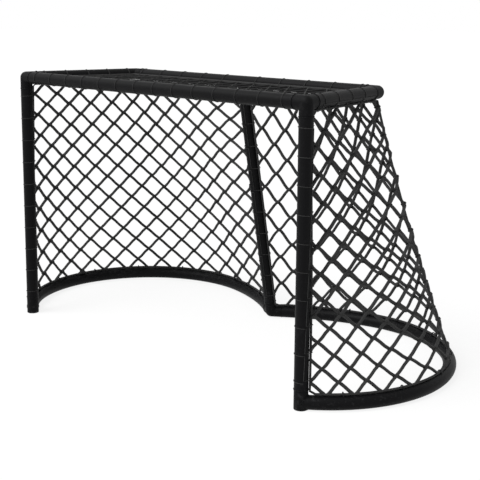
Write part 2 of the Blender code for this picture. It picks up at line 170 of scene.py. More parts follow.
def math_sign(operation):
    """A sign between a socket and another value, with the socket first and with it last."""

    def socket_first(socket, other):
        return socket.finish.math(operation, socket, other)

    def socket_last(socket, other):
        return socket.finish.math(operation, other, socket)

    return socket_first, socket_last


class Socket:
    """A number inside a shader, with the usual signs as Math nodes."""

    def __init__(self, finish, output):
        self.finish = finish
        self.output = output

    __add__, __radd__ = math_sign("ADD")
    __sub__, __rsub__ = math_sign("SUBTRACT")
    __mul__, __rmul__ = math_sign("MULTIPLY")
    __truediv__, __rtruediv__ = math_sign("DIVIDE")
    __pow__, __rpow__ = math_sign("POWER")


class Finish:
    """The shader of a material or a world, and the nodes that feed it."""

    def __init__(self, owner, shader="Principled BSDF"):
        owner.use_nodes = True
        self.tree = owner.node_tree
        self.shader = self.tree.nodes[shader]

    def node(self, kind, settings=None, values=None, output=0):
        """A node of the kind, its settings made first, then its sockets fed, as one of its outputs."""
        node = self.tree.nodes.new(kind)
        for key, value in (settings or {}).items():
            if key == "stops":
                self.set_stops(node.color_ramp, value)
            else:
                setattr(node, key, value)
        for key, value in (values or {}).items():
            self.feed(node.inputs[key], value)
        return Socket(self, node.outputs[output])

    def set_stops(self, ramp, stops):
        while len(ramp.elements) < len(stops):
            ramp.elements.new(1.0)
        for element, (place, level) in zip(ramp.elements, stops):
            element.position = place
            element.color = (level, level, level, 1.0)

    def feed(self, socket, value):
        if isinstance(value, Socket):
            self.tree.links.new(value.output, socket)
        else:
            socket.default_value = value

    def set(self, name, value):
        self.feed(self.shader.inputs[name], value)

    def place(self):
        """Place on the goal, in metres."""
        return self.node("ShaderNodeTexCoord", output="Object")

    def along(self, vector, axis):
        """One of the numbers of a vector."""
        return self.node("ShaderNodeSeparateXYZ", values={"Vector": vector}, output=axis)

    def noise(self, place, scale, detail, roughness=0.5):
        values = {"Vector": place, "Scale": scale, "Detail": detail, "Roughness": roughness}
        return self.node("ShaderNodeTexNoise", values=values)

    def ramp(self, value, stops):
        return self.node("ShaderNodeValToRGB", {"stops": stops}, {"Fac": value})

    def math(self, operation, value, second=0.0):
        return self.node("ShaderNodeMath", {"operation": operation}, {0: value, 1: second})

    def blend(self, factor, first, second):
        """Colour between two others, each a colour of three numbers or a socket."""
        ends = [value if isinstance(value, Socket) else (*value, 1.0) for value in (first, second)]
        values = {"Factor": factor} | dict(zip(MIX_COLOURS, ends))
        return self.node("ShaderNodeMix", {"data_type": "RGBA"}, values, output=MIX_RESULT)

    def bump(self, height, strength, distance):
        values = {"Height": height, "Strength": strength, "Distance": distance}
        self.set("Normal", self.node("ShaderNodeBump", values=values))


def full_turn(count):
    """Angles at even places round a circle."""
    return [2 * math.pi * k / count for k in range(count)]


class Draft:
    """Points, faces and cord coordinates of one mesh while it is being made."""

    def __init__(self):
        self.points = []
        self.faces = []
        self.laid = []

    def tube(self, route, radius, sides, closed=False):
        """A round tube along the route. The radius is one number, or one for each point."""
        count = len(route)
        radii = radius if isinstance(radius, list) else [radius] * count
        first = len(self.points)
        turns = full_turn(sides)
        across = None
        lengths = [0.0]
        for k, point in enumerate(route):
            before = route[k - 1] if k or closed else point
            after = route[(k + 1) % count] if k < count - 1 or closed else point
            along = (after - before).normalized()
            if across is None:
                across = along.orthogonal().normalized()
            across = (across - along * across.dot(along)).normalized()
            up = along.cross(across)
            if k:
                lengths.append(lengths[-1] + (point - route[k - 1]).length)
            for turn in turns:
                offset = across * math.cos(turn) + up * math.sin(turn)
                self.points.append(point + offset * radii[k])
        twist = self.closing_twist(first, count, sides) if closed else 0
        lengths.append(lengths[-1] + (route[0] - route[-1]).length)
        for k in range(count if closed else count - 1):
            here = first + k * sides
            there = first + (k + 1) % count * sides
            turned = twist if k == count - 1 else 0
            for side in range(sides):
                after = (side + 1) % sides
                corners = (side, after, (after + turned) % sides, (side + turned) % sides)
                face = (here + corners[0], here + corners[1], there + corners[2], there + corners[3])
                self.faces.append(face)
                low, high = side / sides, (side + 1) / sides
                start, end = lengths[k], lengths[k + 1]
                self.laid += [(start, low), (start, high), (end, high), (end, low)]
        if not closed:
            self.cap(range(first + sides - 1, first - 1, -1))
            self.cap(range(first + (count - 1) * sides, first + count * sides))

    def closing_twist(self, first, count, sides):
        """How many sides the last ring of a closed tube has turned against its first ring."""
        start = self.points[first]
        last = self.points[first + (count - 1) * sides:first + count * sides]
        nearest = min(range(sides), key=lambda side: (last[side] - start).length)
        return -nearest % sides

    def cap(self, corners):
        corners = tuple(corners)
        self.faces.append(corners)
        self.laid += [(0.0, 0.0)] * len(corners)

    def mesh(self, name):
        made = bpy.data.meshes.new(name)
        made.from_pydata([tuple(point) for point in self.points], [], self.faces)
        layer = made.uv_layers.new(name="cord")
        layer.data.foreach_set("uv", [number for pair in self.laid for number in pair])
        made.update()
        return made


def tube_mesh(name, route, radius, sides):
    draft = Draft()
    draft.tube(route, radius, sides)
    return draft.mesh(name)


def linked(name, data):
    """A new object of the scene that shows a mesh, a lamp or a camera."""
    made = bpy.data.objects.new(name, data)
    bpy.context.scene.collection.objects.link(made)
    return made


def add_piece(name, mesh, material, nodes, edge_degrees=CORD_EDGE):
    """A piece of the goal in place of its CAD nodes, with edges sharp where faces turn by more."""
    mesh.shade_smooth()
    mesh.set_sharp_from_angle(angle=math.radians(edge_degrees))
    mesh.materials.clear()
    mesh.materials.append(material)
    piece = linked(name, mesh)
    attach(piece, "root")
    if nodes:
        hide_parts(*nodes)


def modified_mesh(name, mesh, modifiers):
    """The mesh after the modifiers, each a kind and its settings."""
    holder = linked(name, mesh)
    for kind, settings in modifiers:
        modifier = holder.modifiers.new(kind.lower(), kind)
        for key, value in settings.items():
            setattr(modifier, key, value)
    bpy.context.view_layer.update()
    evaluated = holder.evaluated_get(bpy.context.evaluated_depsgraph_get())
    made = bpy.data.meshes.new_from_object(evaluated)
    bpy.data.objects.remove(holder)
    return made


def frame_settings():
    return bpy.context.scene.hockey_goal_frame


def net_settings():
    return bpy.context.scene.hockey_goal_net


def stage_settings():
    return bpy.context.scene.hockey_goal_stage


def made_once(make):
    """Turns a maker of a finish into one that takes a name, and makes that material only once."""

    def finish_named(name, **values):
        made = bpy.data.materials.get(name)
        if not made:
            made = bpy.data.materials.new(name)
            make(Finish(made), **values)
        return made

    return finish_named


@made_once
def powder_coat(finish, peel_scale=520.0, peel_depth=0.00035, dullness=0.0):
    """Black powder coat: orange peel, dull scuffs, and grey rubs low down where skates reach."""
    settings = frame_settings()
    place = finish.place()
    cloud = finish.noise(place, scale=6.0, detail=3.0)
    peel = finish.noise(place, scale=peel_scale, detail=1.0)
    grain = finish.noise(place, scale=70.0, detail=5.0, roughness=0.65)
    scuffed = finish.ramp(grain * 0.7 + cloud * 0.3, [(0.54, 0.0), (0.66, 1.0)])
    low = finish.ramp(finish.along(place, "Z"), [(RUBS_FULL, 1.0), (RUBS_GONE, 0.0)])
    rubbed = scuffed * (low * 0.75 + 0.25)
    finish.set("Base Color", finish.blend(rubbed, settings.paint_colour, settings.rub_colour))
    finish.set("Roughness", cloud * 0.16 + rubbed * 0.22 + (settings.paint_roughness + dullness))
    finish.set("Specular IOR Level", settings.paint_shine)
    finish.bump(peel * 0.7 - rubbed * 0.6 + grain * 0.2, strength=0.5, distance=peel_depth)


@made_once
def black_wire(finish):
    """Blackened steel wire, drawn along its length and rubbed bright in patches."""
    settings = frame_settings()
    laid = finish.node("ShaderNodeUVMap", {"uv_map": "cord"})
    stretched = {0: laid, 1: (30.0, 9.0, 1.0)}
    streaks = finish.node("ShaderNodeVectorMath", {"operation": "MULTIPLY"}, stretched)
    drawn = finish.noise(streaks, scale=4.0, detail=3.0)
    cloud = finish.noise(finish.place(), scale=40.0, detail=3.0)
    worn = finish.ramp(drawn * 0.5 + cloud * 0.5, [(0.50, 0.0), (0.66, 1.0)])
    finish.set("Base Color", finish.blend(worn, settings.wire_colour, settings.wire_worn))
    finish.set("Metallic", worn * 0.5 + 0.3)
    finish.set("Roughness", cloud * 0.2 + 0.34)
    finish.set("Specular IOR Level", settings.paint_shine)
    finish.bump(drawn * 0.6 + cloud * 0.4, strength=0.4, distance=0.0003)


@made_once
def twisted_cord(finish, colour, pitch, fuzz):
    """Nylon cord: slanted strands, fine fibres, dusty high spots, and painted shade that darkens the
    grooves between strands.
    """
    laid = finish.node("ShaderNodeUVMap", {"uv_map": "cord"})
    slant = finish.along(laid, "Y") * STRANDS + finish.along(laid, "X") / pitch
    place = finish.place()
    strand = finish.math("ABSOLUTE", finish.math("SINE", slant * math.pi))
    fibre = finish.noise(place, scale=900.0, detail=3.0, roughness=0.7)
    cloud = finish.noise(place, scale=11.0, detail=3.0)
    # Painted shade: a mask that is high in the grooves between strands, where shade falls, and a darker
    # copy of the cord's colour for it
    groove_shade = 1.0 - strand ** 0.6
    dusty = finish.ramp(cloud * 0.6 + fibre * 0.4, [(0.48, 0.0), (0.68, 1.0)]) * strand
    groove_shade_colour = [channel * 0.45 for channel in colour]
    pale = [channel * 2.6 + 0.004 for channel in colour]
    body = finish.blend(dusty * 0.55, colour, pale)
    # Painted shade: the grooves between strands are blended towards the darker copy of the cord's colour
    finish.set("Base Color", finish.blend(groove_shade * 0.8, body, groove_shade_colour))
    finish.set("Roughness", fibre * 0.18 + 0.70)
    finish.set("Specular IOR Level", 0.10)
    finish.bump(strand * 0.8 + fibre * fuzz, strength=0.8, distance=0.0012)


def at(x, y, z):
    """World point from a plan position measured from the goal line."""
    return Vector((x, y + GOAL_LINE_Y, z))


def mirrored(point, side):
    return Vector((point.x * side, point.y, point.z))


def toward(start, end):
    return (end - start).normalized()


def post_top(side):
    return at(side * POST_X, 0.0, BAR_Z)


def shelf_corner(side):
    return Vector((side * SHELF_X, REAR_Y, BAR_Z))


def rear_middle():
    return Vector((0.0, REAR_Y, BAR_Z))


def notch():
    return at(0.0, NOTCH_DEPTH, PIPE_RADIUS)


def arc(centre, radius, start, end, steps):
    turns = [start + (end - start) * k / steps for k in range(steps + 1)]
    return [(centre.x + radius * math.cos(t), centre.y + radius * math.sin(t)) for t in turns]


def rail_plan():
    """Plan points of the right rail's axis: the lobe's arc, a flatter arc and a straight lead-in."""
    lobe = Vector((LOBE_CENTRE_X, LOBE_CENTRE_Y))
    start = math.atan2(-LOBE_CENTRE_Y, POST_X - LOBE_CENTRE_X)
    plan = arc(lobe, LOBE_RADIUS, start, LOBE_ARC_END, LOBE_STEPS)
    inward = -Vector((math.cos(LOBE_ARC_END), math.sin(LOBE_ARC_END)))
    join = lobe - inward * LOBE_RADIUS
    end = Vector((0.0, NOTCH_DEPTH))
    chord = end - join
    radius = (chord.length_squared - RAIL_LEAD_IN ** 2) / (2 * chord.dot(inward))
    centre = join + inward * radius
    spoke = end - centre
    last = math.atan2(spoke.y, spoke.x) % (2 * math.pi) - math.acos(radius / spoke.length)
    plan += arc(centre, radius, LOBE_ARC_END, last, REAR_STEPS)[1:]
    run = Vector(plan[-1]) - end
    tip = end + run * (ARM_LENGTH / RAIL_LEAD_IN)
    return plan + [(tip.x, tip.y)]


class Path:
    """A polyline that can be asked for the point at a share, which is of its length if not given."""

    def __init__(self, points, shares=None):
        self.points = points
        self.shares = shares or self.length_shares(points)

    @staticmethod
    def length_shares(points):
        lengths = [0.0]
        for a, b in zip(points, points[1:]):
            lengths.append(lengths[-1] + (b - a).length)
        return [length / lengths[-1] for length in lengths]

    def point(self, share):
        last = len(self.points) - 2
        for k in range(last + 1):
            if share <= self.shares[k + 1] or k == last:
                step = self.shares[k + 1] - self.shares[k]
                return self.points[k].lerp(self.points[k + 1], (share - self.shares[k]) / step)

    def direction(self, share):
        return toward(self.point(share - NEAR), self.point(share + NEAR))


def support_line(z):
    share = (z - PIPE_RADIUS) / (BAR_Z - PIPE_RADIUS)
    return notch().lerp(rear_middle(), share)


def net_border():
    """How far the net's border cord lies from the axis of the pipe that it is laced to."""
    return PIPE_RADIUS + NET_SEAT + net_settings().border_thickness / 2


def net_top_path():
    """Top border of the right lobe's net, under the return and then under the rear bar."""
    border = net_border()
    z = BAR_Z - border
    top, corner = post_top(1), shelf_corner(1)
    start = top + toward(top, corner) * border
    end = support_line(z)
    last_x = corner.x + (border - corner.x) * (NET_LAST_COLUMN - NET_CORNER) / (1 - NET_CORNER)
    points = [
        Vector((start.x, start.y, z)),
        Vector((corner.x, corner.y, z)),
        Vector((last_x, corner.y, z)),
        Vector((border, end.y, z)),
    ]
    return Path(points, [0.0, NET_CORNER, NET_LAST_COLUMN, 1.0])


def net_base_path():
    """Bottom border of the right lobe's net, on top of the base rail."""
    border = net_border()
    z = PIPE_RADIUS + border
    foot = at(POST_X, 0.0, z)
    points = [at(x, y, z) for x, y in rail_plan()]
    points = [point for point in points if (point - foot).length > border]
    start = foot + toward(foot, points[0]) * border
    end = support_line(z)
    return Path([start] + points + [Vector((border, end.y, z))])


def lobe_net_point(top, base, share, drop):
    """Point of the right lobe's net: share runs from the post to the support, drop from top to base."""
    point = top.point(share).lerp(base.point(share), drop)
    post = at(POST_X, 0.0, point.z)
    border = net_border()
    if (point - post).length < border:
        point = post + toward(post, point) * border
    middle = Vector((SHELF_X / 2, (GOAL_LINE_Y + REAR_Y) / 2, point.z))
    pull = NET_PULL_IN * 4 * drop * (1 - drop) * math.sin(math.pi * share)
    return point + toward(point, middle) * pull


def top_net_half_width(y):
    """Half the width of the top net at the depth y from the goal line."""
    run = toward(post_top(1), shelf_corner(1))
    return POST_X + y * run.x / run.y - net_border() / run.y


def top_net_point(share, back):
    """Point of the top net: share runs along the mouth, back from the crossbar to the rear bar."""
    across = 2 * share - 1
    border = net_border()
    y = border + back * (REAR_Y - GOAL_LINE_Y - 2 * border)
    sag = TOP_NET_SAG * 4 * back * (1 - back) * (1 - across ** 2)
    return at(across * top_net_half_width(y), y, BAR_Z - sag)


class Weave:
    """A diamond net on a sheet. Its columns are numbered along the sheet and its rows down it.

    A diamond is one column wide and one row high. The top and base edges give the column's number
    at even places along them, and counts give the rows from top to base at even places.
    With a stretch above zero, rows grow shorter on their way down.
    """

    def __init__(self, point_of, top, base, counts, first_row=0.0, stretch=0.0):
        self.point_of = point_of
        self.top = top
        self.base = base
        self.counts = counts
        self.first_row = first_row
        self.stretch = stretch

    @staticmethod
    def through(values, share):
        """Smooth curve through values at even places."""
        spans = len(values) - 1
        k = min(max(math.floor(share * spans), 0), spans - 1)
        part = share * spans - k
        b, c = values[k], values[k + 1]
        a = values[k - 1] if k else 2 * b - c
        d = values[k + 2] if k < spans - 1 else 2 * c - b
        bend = 2 * a - 5 * b + 4 * c - d + part * (3 * (b - c) + d - a)
        return b + part / 2 * (c - a + part * bend)

    def columns_at(self, share, drop):
        return self.through(self.top, share) * (1 - drop) + self.through(self.base, share) * drop

    def drop_at(self, share, row):
        reach = (row - self.first_row) / self.through(self.counts, share)
        slope = 1 - self.stretch
        return 2 * reach / (slope + math.sqrt(max(slope ** 2 + 4 * self.stretch * reach, 0.0)))

    def place(self, column, row):
        """Share and drop of the place with the column and row."""
        share = (column - self.top[0]) / (self.top[-1] - self.top[0])
        for _ in range(PLACE_TRIES):
            share = min(max(share, -PLACE_MARGIN), 1 + PLACE_MARGIN)
            drop = self.drop_at(share, row)
            here = self.columns_at(share, drop)
            slope = (self.columns_at(share + NEAR, drop) - here) / NEAR
            share += (column - here) / max(slope, LEAST_SLOPE)
        return share, self.drop_at(share, row)

    def holds(self, column, row):
        share, drop = self.place(column, row)
        return 0.0 <= share <= 1.0 and 0.0 <= drop <= 1.0

    def normal(self, share, drop):
        low_share, high_share = max(share - NEAR_PLACE, 0.0), min(share + NEAR_PLACE, 1.0)
        low_drop, high_drop = max(drop - NEAR_PLACE, 0.0), min(drop + NEAR_PLACE, 1.0)
        along = self.point_of(high_share, drop) - self.point_of(low_share, drop)
        down = self.point_of(share, high_drop) - self.point_of(share, low_drop)
        return along.cross(down).normalized()

    @staticmethod
    def halves(first, last):
        """Whole numbers of half steps that reach from first to last."""
        return range(math.floor(2 * first), math.ceil(2 * last) + 1)

    def half_columns(self):
        return self.halves(min(self.top[0], self.base[0]), max(self.top[-1], self.base[-1]))

    def half_rows(self):
        return self.halves(self.first_row, self.first_row + max(self.counts))


def cord_row(number, column):
    """Row of a cord at the column, and its swing from 0 to 1 between its two half rows."""
    half = 2 * column
    part = half - math.floor(half)
    eased = part - net_settings().rounding * math.sin(2 * math.pi * part) / (2 * math.pi)
    falling = (number + math.floor(half)) % 2 == 0
    swing = eased if falling else 1.0 - eased
    return (number + swing) / 2, swing


def border_crossing(weave, number, outside, inside):
    """Column at which a cord meets the sheet's border, between one outside and one inside."""
    for _ in range(CROSSING_TRIES):
        middle = (outside + inside) / 2
        if weave.holds(middle, cord_row(number, middle)[0]):
            inside = middle
        else:
            outside = middle
    return inside


def cord_stretches(weave, number):
    """The stretches of one cord that lie on the sheet, each a list of columns."""
    stretches, stretch, before = [], [], None
    halves = weave.half_columns()
    for k in range(halves[0] * CORD_STEPS, halves[-1] * CORD_STEPS + 1):
        column = k / (2 * CORD_STEPS)
        if weave.holds(column, cord_row(number, column)[0]):
            if not stretch and before is not None:
                stretch.append(border_crossing(weave, number, before, column))
            if not stretch or column - stretch[-1] > LEAST_STEP:
                stretch.append(column)
        elif stretch:
            edge = border_crossing(weave, number, column, stretch[-1])
            if edge - stretch[-1] > LEAST_STEP:
                stretch.append(edge)
            stretches.append(stretch)
            stretch = []
        before = column
    if stretch:
        stretches.append(stretch)
    return stretches


def net_cords(draft, weave, thickness):
    """Cords of a diamond net. Each runs along the sheet, up and down between two half rows."""
    radius = thickness / 2
    cross = radius * net_settings().crossing
    for number in weave.half_rows():
        for stretch in cord_stretches(weave, number):
            route = []
            for column in stretch:
                row, swing = cord_row(number, column)
                share, drop = weave.place(column, row)
                offset = weave.normal(share, drop) * cross * (2 * swing - 1)
                route.append(weave.point_of(share, drop) + offset)
            if len(route) >= LEAST_POINTS:
                draft.tube(route, radius, CORD_SIDES)


def net_knots(draft, weave, thickness):
    """A knot at each crossing of the net: a few turns of thin cord round both cords."""
    settings = net_settings()
    wrap = thickness * settings.knot_share / 2
    turns = settings.knot_turns
    steps = turns * KNOT_STEPS
    tall = thickness / 2
    deep = tall * (1.0 + settings.crossing)
    high = 1.0 - KNOT_MARGIN
    for i in weave.half_columns():
        for j in weave.half_rows():
            share, drop = weave.place(i / 2, j / 2)
            if (i + j) % 2 or not (KNOT_MARGIN < share < high and KNOT_MARGIN < drop < high):
                continue
            centre = weave.point_of(share, drop)
            ends = weave.point_of(share - NEAR_PLACE, drop), weave.point_of(share + NEAR_PLACE, drop)
            along = toward(*ends)
            normal = weave.normal(share, drop)
            down = normal.cross(along)
            route = []
            for k in range(steps + 1):
                turn = 2 * math.pi * k / KNOT_STEPS
                slide = (k / steps - 0.5) * turns * wrap * 2
                wound = down * math.cos(turn) * tall + normal * math.sin(turn) * deep
                route.append(centre + along * slide + wound)
            draft.tube(route, wrap, KNOT_SIDES)


def border_route(point_of):
    """The four edges of a sheet in one round."""
    shares = middle_shares(BORDER_STEPS)
    route = [point_of(share, 0.0) for share in shares]
    route += [point_of(1.0, share) for share in shares]
    route += [point_of(1.0 - share, 1.0) for share in shares]
    route += [point_of(0.0, 1.0 - share) for share in shares]
    return route


def add_net(name, weave, thickness, nodes, seams=()):
    """The cords and knots of one net as one piece, and its border and seam ropes as another."""
    settings = net_settings()
    net, border = Draft(), Draft()
    net_cords(net, weave, thickness)
    net_knots(net, weave, thickness)
    border.tube(border_route(weave.point_of), settings.border_thickness / 2, BEAD_SIDES, closed=True)
    for route in seams:
        border.tube(route, settings.seam_thickness / 2, BEAD_SIDES)
    finish = twisted_cord("net_cord", colour=settings.cord_colour, pitch=NET_CORD_PITCH, fuzz=0.5)
    for piece, draft in ((name, net), (f"{name}_border", border)):
        add_piece(piece, draft.mesh(piece), finish, nodes)


def add_pipe(name, route, cope=None):
    """A round frame pipe along the route, coped to a pipe with this centre and direction."""
    mesh = tube_mesh(name, route, PIPE_RADIUS, PIPE_SIDES)
    if cope:
        centre, direction = cope
        half = direction * CUTTER_LENGTH / 2
        bar = tube_mesh("cope", [centre - half, centre + half], PIPE_RADIUS, PIPE_SIDES)
        cutter = linked("cope", bar)
        mesh = modified_mesh(name, mesh, [("BOOLEAN", {"object": cutter, "solver": "EXACT"})])
        bpy.data.objects.remove(cutter)
    add_piece(f"{name}_tube", mesh, powder_coat("pipe_paint"), [name], PIPE_EDGE)


def between(start, end, start_trim, end_trim):
    line = toward(start, end)
    return [start + line * start_trim, end - line * end_trim]


def rail_route(side):
    return [at(side * x, y, PIPE_RADIUS) for x, y in rail_plan()]


def casting_plan():
    """Name, middle and arm directions of each ball casting of the frame."""
    plan = []
    for side, label in SIDES:
        top, corner = post_top(side), shelf_corner(side)
        inward = Vector((-side, 0.0, 0.0))
        plan.append((f"{label}_top_corner", top, [inward, DOWN, toward(top, corner)]))
        plan.append((f"{label}_rear_elbow", corner, [toward(corner, top), inward]))
    arms = [toward(notch(), rail_route(side)[-1]) for side in (-1, 1)]
    plan.append(("notch_fitting", notch(), arms + [toward(notch(), rear_middle())]))
    return plan


def casting_mesh(name, centre, arms):
    """One cast piece: a ball and its arms, grown together with a small fillet between them."""
    shape = bmesh.new()
    bmesh.ops.create_uvsphere(
        shape,
        u_segments=PIPE_SIDES,
        v_segments=PIPE_SIDES // 2,
        radius=PIPE_RADIUS,
        matrix=Matrix.Translation(centre),
    )
    for arm in arms:
        turn = arm.to_track_quat("Z", "Y").to_matrix().to_4x4()
        middle = Matrix.Translation(centre + arm * ARM_LENGTH / 2)
        bmesh.ops.create_cone(
            shape,
            cap_ends=True,
            segments=PIPE_SIDES,
            radius1=PIPE_RADIUS,
            radius2=PIPE_RADIUS,
            depth=ARM_LENGTH,
            matrix=middle @ turn,
        )
    mesh = bpy.data.meshes.new(name)
    shape.to_mesh(mesh)
    shape.free()
    modifiers = [
        ("REMESH", {"mode": "VOXEL", "voxel_size": CASTING_VOXEL, "use_smooth_shade": True}),
        ("CORRECTIVE_SMOOTH", {"factor": 0.5, "iterations": 6, "use_only_smooth": True}),
    ]
    return modified_mesh(name, mesh, modifiers)


def foot_mesh(name, centre):
    """A turned foot: eased edges, and the blind socket for the peg."""
    ease, middle = FOOT_EASE, FOOT_EASE * 0.3
    profile = [
        (0.0, FOOT_HEIGHT),
        (PIPE_RADIUS, FOOT_HEIGHT),
        (PIPE_RADIUS, ease),
        (PIPE_RADIUS - middle, middle),
        (PIPE_RADIUS - ease, 0.0),
        (PEG_SOCKET_RADIUS + ease, 0.0),
        (PEG_SOCKET_RADIUS + middle, middle),
        (PEG_SOCKET_RADIUS, ease),
        (PEG_SOCKET_RADIUS, PEG_SOCKET_DEPTH),
        (0.0, PEG_SOCKET_DEPTH),
    ]
    outline = bpy.data.meshes.new(name)
    edges = [(k, k + 1) for k in range(len(profile) - 1)]
    outline.from_pydata([(radius, 0.0, z) for radius, z in profile], edges, [])
    turn = {"steps": FOOT_SIDES, "render_steps": FOOT_SIDES, "use_merge_vertices": True}
    mesh = modified_mesh(name, outline, [("SCREW", turn | {"merge_threshold": 0.00001})])
    mesh.transform(Matrix.Translation(centre))
    return mesh


def bead(draft, ring):
    """A weld bead along a closed ring of points, rippled like a row of overlapping pools."""
    radius = frame_settings().weld_radius
    length = sum((b - a).length for a, b in zip(ring, ring[1:]))
    steps = max(LEAST_POOLS, round(length / frame_settings().weld_pool)) * BEAD_STEPS
    path = Path(ring + [ring[0]])
    route, radii = [], []
    for k in range(steps):
        point = path.point(k / steps)
        point.z = max(point.z, radius)
        route.append(point)
        pool = math.cos(2 * math.pi * k / BEAD_STEPS)
        radii.append(radius * (1 - BEAD_RIPPLE + BEAD_RIPPLE * pool))
    draft.tube(route, radii, BEAD_SIDES, closed=True)


def pipe_ring(centre, direction, across, reach=0.0):
    """Ring round a pipe's surface, which swings along the pipe by the reach twice in its turn."""
    other = direction.cross(across)
    places = []
    for turn in full_turn(RING_POINTS):
        rim = (across * math.cos(turn) + other * math.sin(turn)) * PIPE_RADIUS
        places.append(centre + rim + direction * abs(math.sin(turn)) * reach)
    return places


def joint_ring(centre, direction):
    """Ring round a pipe's surface, square to its axis."""
    return pipe_ring(centre, direction, direction.orthogonal().normalized())


def cope_ring(meeting, branch, main):
    """Ring where a pipe that leaves the meeting point along branch comes out of the main pipe."""
    return pipe_ring(meeting, branch, branch.cross(main).normalized(), PIPE_RADIUS)


def taut_loop(circles):
    """Loop of cord pulled tight round circles in a plane, as evenly spaced places."""
    rim = []
    for x, y, radius in circles:
        rim += [(x + radius * math.cos(t), y + radius * math.sin(t)) for t in full_turn(PIPE_SIDES)]
    hull = [Vector(rim[k]) for k in convex_hull_2d(rim)]
    loop = Path(hull + hull[:1])
    return [loop.point(k / WINDING_POINTS) for k in range(WINDING_POINTS)]


def turned_to_start(loop, turn):
    """The loop's places in order from the one that lies nearest to the turn from the net."""
    way = Vector((math.cos(turn), math.sin(turn)))
    first = max(range(len(loop)), key=lambda k: loop[k].normalized().dot(way))
    return loop[first:] + loop[:first + 1]


def lacing_route(frame_at, shares, second_net, side):
    """Route of a cord that winds round a pipe and the net's border at each share.

    Where a second net hangs from the pipe, second_net is the angle from the first net to it.
    """
    settings = net_settings()
    radius = settings.lacing_thickness / 2
    pipe_circle = (0.0, 0.0, PIPE_RADIUS + radius)
    cord_circle = settings.border_thickness / 2 + radius * 2
    reach = net_border()
    circles = [pipe_circle, (reach, 0.0, cord_circle)]
    if second_net is not None:
        circles.append((reach * math.cos(second_net), reach * math.sin(second_net), cord_circle))
    winding = turned_to_start(taut_loop(circles), WINDING_START)
    advance = (shares[1] - shares[0]) * settings.lacing_advance
    route = []
    for share in shares:
        for k, place in enumerate(winding):
            along = share + advance * (k / (len(winding) - 1) - 0.5)
            axis_point, direction, way = frame_at(along)
            out = (way - direction * way.dot(direction)).normalized()
            across = direction.cross(out)
            route.append(mirrored(axis_point + out * place.x + across * place.y, side))
    return route


def middle_shares(count, start=0.0, end=1.0):
    return [start + (end - start) * (k + 0.5) / count for k in range(count)]


def add_lacing(node, frame_at, shares, side=1, second_net=None):
    settings = net_settings()
    name = f"{node}_cord"
    route = lacing_route(frame_at, shares, second_net, side)
    mesh = tube_mesh(name, route, settings.lacing_thickness / 2, CORD_SIDES)
    finish = twisted_cord("lacing_cord", colour=settings.lacing_colour, pitch=LACING_PITCH, fuzz=0.4)
    add_piece(name, mesh, finish, [node])


class HockeyGoalFrameSettings(bpy.types.PropertyGroup):
    """Colours and sizes of the frame's finish."""

    paint_colour: FloatVectorProperty(
        name="Paint", description="Powder coat", subtype="COLOR", default=(0.0028, 0.0028, 0.0032)
    )
    rub_colour: FloatVectorProperty(
        name="Rubs", description="Where the coat is rubbed", subtype="COLOR", default=(0.018, 0.018, 0.019)
    )
    paint_shine: FloatProperty(
        name="Shine", description="Specular level of the coat", default=0.08, min=0.0, max=1.0
    )
    wire_colour: FloatVectorProperty(
        name="Wire", description="Blackened wire", subtype="COLOR", default=(0.006, 0.006, 0.007)
    )
    wire_worn: FloatVectorProperty(
        name="Worn wire",
        description="Where the wire is rubbed",
        subtype="COLOR",
        default=(0.05, 0.05, 0.052),
    )
    paint_roughness: FloatProperty(
        name="Roughness", description="Roughness of the coat", default=0.40, min=0.0, max=1.0
    )
    weld_radius: FloatProperty(
        name="Weld", description="Radius of a weld bead", default=0.0026, unit="LENGTH"
    )
    weld_pool: FloatProperty(
        name="Pool", description="Spacing of the pools in a bead", default=0.0048, unit="LENGTH"
    )


